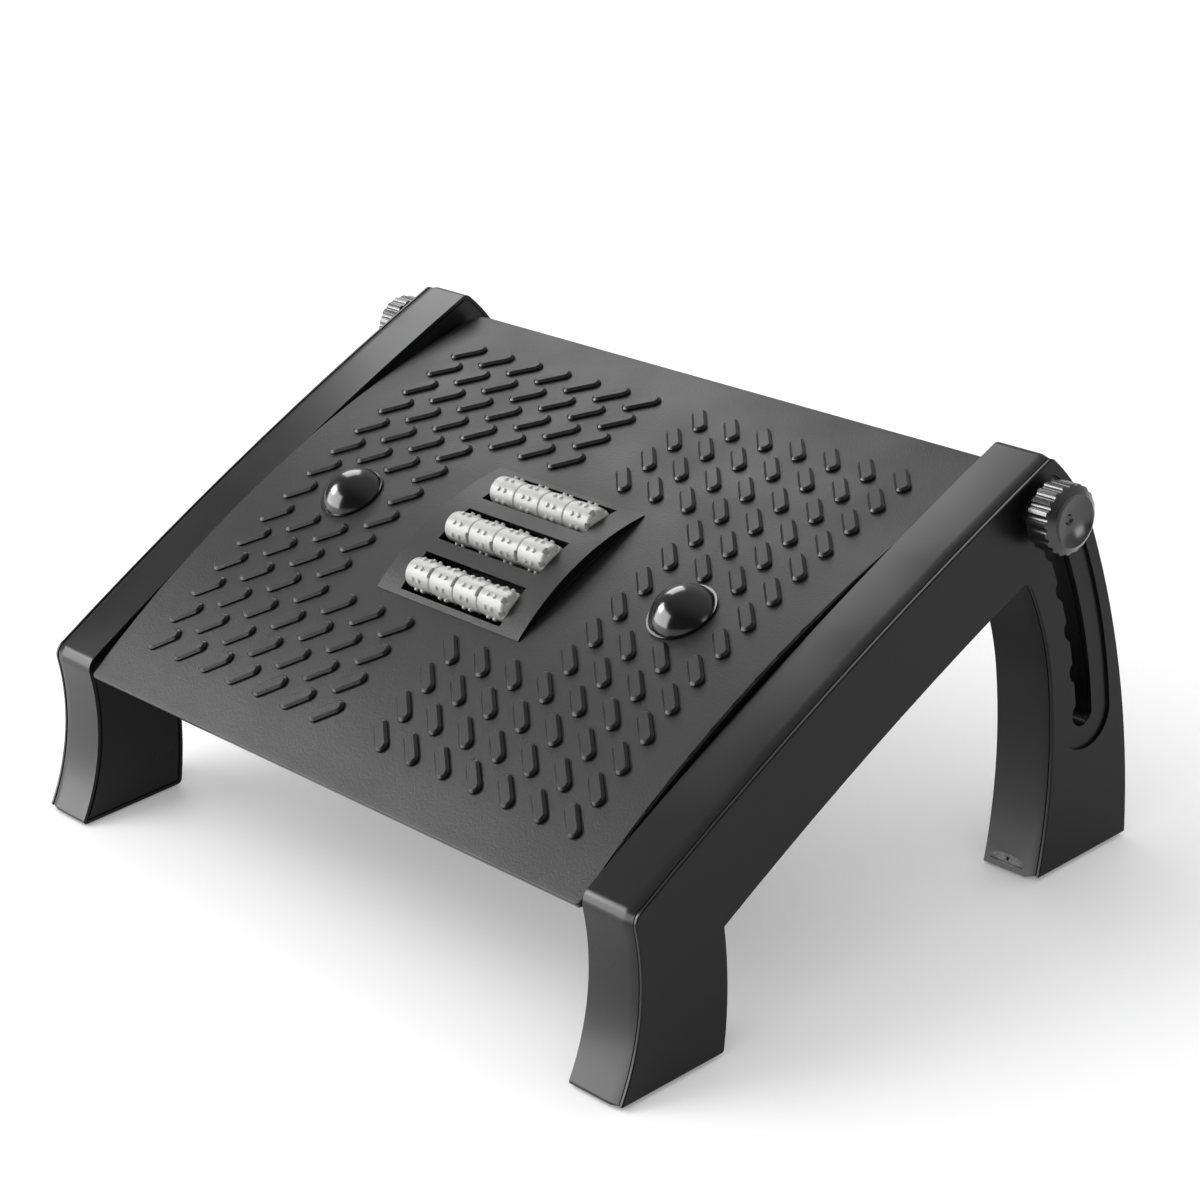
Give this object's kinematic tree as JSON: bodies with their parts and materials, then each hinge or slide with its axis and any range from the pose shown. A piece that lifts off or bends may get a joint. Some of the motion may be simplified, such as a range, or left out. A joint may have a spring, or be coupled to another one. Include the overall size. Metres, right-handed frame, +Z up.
{
  "type": "under-desk footrest",
  "caption": "Tilting footrest: ribbed curved platform with massage rollers and domes, hung between two arched side frames with notched height slots and clamp knobs.",
  "frame": {"origin": "on the floor, at the middle of the whole footrest's footprint", "axes": "+X to the user's right, -Y towards the user (the low front edge), +Y to the high rear edge, +Z up"},
  "size_m": [0.4878, 0.3143, 0.199],
  "materials": {
    "frame_plastic": "satin black moulding with a fine texture",
    "cover_plastic": "satin black moulding with a fine texture",
    "platform_plastic": "matt black moulding with a fine texture",
    "insert_plastic": "matt black moulding with a fine texture",
    "dome_plastic": "polished black",
    "bead_plastic": "satin off-white moulding",
    "knob_plastic": "satin black moulding",
    "bush_plastic": "natural acetal",
    "pad_rubber": "matt black rubber",
    "plated_steel": "bright zinc plate",
    "spring_steel": "dark phosphated spring steel",
    "brass": "turned brass"
  },
  "bodies": {
    "frame": {"left_side_frame": "frame_plastic", "left_side_cover": "cover_plastic", "left_cover_screws": "plated_steel", "left_pivot_bush": "bush_plastic", "left_front_pad": "pad_rubber", "left_rear_pad": "pad_rubber", "right_side_frame": "frame_plastic", "right_side_cover": "cover_plastic", "right_cover_screws": "plated_steel", "right_pivot_bush": "bush_plastic", "right_front_pad": "pad_rubber", "right_rear_pad": "pad_rubber"},
    "platform": {"foot_platform": "platform_plastic", "roller_insert": "insert_plastic", "insert_screws": "plated_steel", "front_axle": "plated_steel", "middle_axle": "plated_steel", "rear_axle": "plated_steel", "left_dome": "dome_plastic", "left_dome_clip": "spring_steel", "left_pivot_screw": "plated_steel", "left_pivot_insert": "brass", "left_clamp_insert": "brass", "right_dome": "dome_plastic", "right_dome_clip": "spring_steel", "right_pivot_screw": "plated_steel", "right_pivot_insert": "brass", "right_clamp_insert": "brass"},
    "front_roller": {"front_bead_1": "bead_plastic", "front_bead_2": "bead_plastic", "front_bead_3": "bead_plastic", "front_bead_4": "bead_plastic"},
    "middle_roller": {"middle_bead_1": "bead_plastic", "middle_bead_2": "bead_plastic", "middle_bead_3": "bead_plastic", "middle_bead_4": "bead_plastic"},
    "rear_roller": {"rear_bead_1": "bead_plastic", "rear_bead_2": "bead_plastic", "rear_bead_3": "bead_plastic", "rear_bead_4": "bead_plastic"},
    "left_clamp": {"left_clamp_washer": "plated_steel"},
    "left_knob": {"left_height_knob": "knob_plastic", "left_clamp_bolt": "plated_steel"},
    "right_clamp": {"right_clamp_washer": "plated_steel"},
    "right_knob": {"right_height_knob": "knob_plastic", "right_clamp_bolt": "plated_steel"}
  },
  "joints": [
    {"name": "platform_tilt", "type": "hinge", "parent": "frame", "child": "platform", "pos_m": [0, -0.12056, 0.082], "axis": [1, 0, 0], "range_deg": [-24.5, 0]},
    {"name": "front_roller_spin", "type": "hinge", "parent": "platform", "child": "front_roller", "pos_m": [0, -0.04099, 0.13695], "axis": [1, 0, 0], "continuous": true},
    {"name": "middle_roller_spin", "type": "hinge", "parent": "platform", "child": "middle_roller", "pos_m": [0, -0.01485, 0.15144], "axis": [1, 0, 0], "continuous": true},
    {"name": "rear_roller_spin", "type": "hinge", "parent": "platform", "child": "rear_roller", "pos_m": [0, 0.01385, 0.15976], "axis": [1, 0, 0], "continuous": true},
    {"name": "left_clamp_slide", "type": "slide", "parent": "platform", "child": "left_clamp", "axis": [-1, 0, 0], "range_m": [0, 0.003]},
    {"name": "left_knob_turn", "type": "hinge", "parent": "left_clamp", "child": "left_knob", "pos_m": [-0.235, 0.11219, 0.17598], "axis": [-1, 0, 0], "range_deg": [0, 1080]},
    {"name": "right_clamp_slide", "type": "slide", "parent": "platform", "child": "right_clamp", "axis": [1, 0, 0], "range_m": [0, 0.003]},
    {"name": "right_knob_turn", "type": "hinge", "parent": "right_clamp", "child": "right_knob", "pos_m": [0.235, 0.11219, 0.17598], "axis": [1, 0, 0], "range_deg": [0, 1080]}
  ],
  "couplings": [
    {"joint": "left_knob_turn", "follows": "left_clamp_slide", "rad_per_m": 6283.2},
    {"joint": "right_knob_turn", "follows": "right_clamp_slide", "rad_per_m": 6283.2}
  ]
}
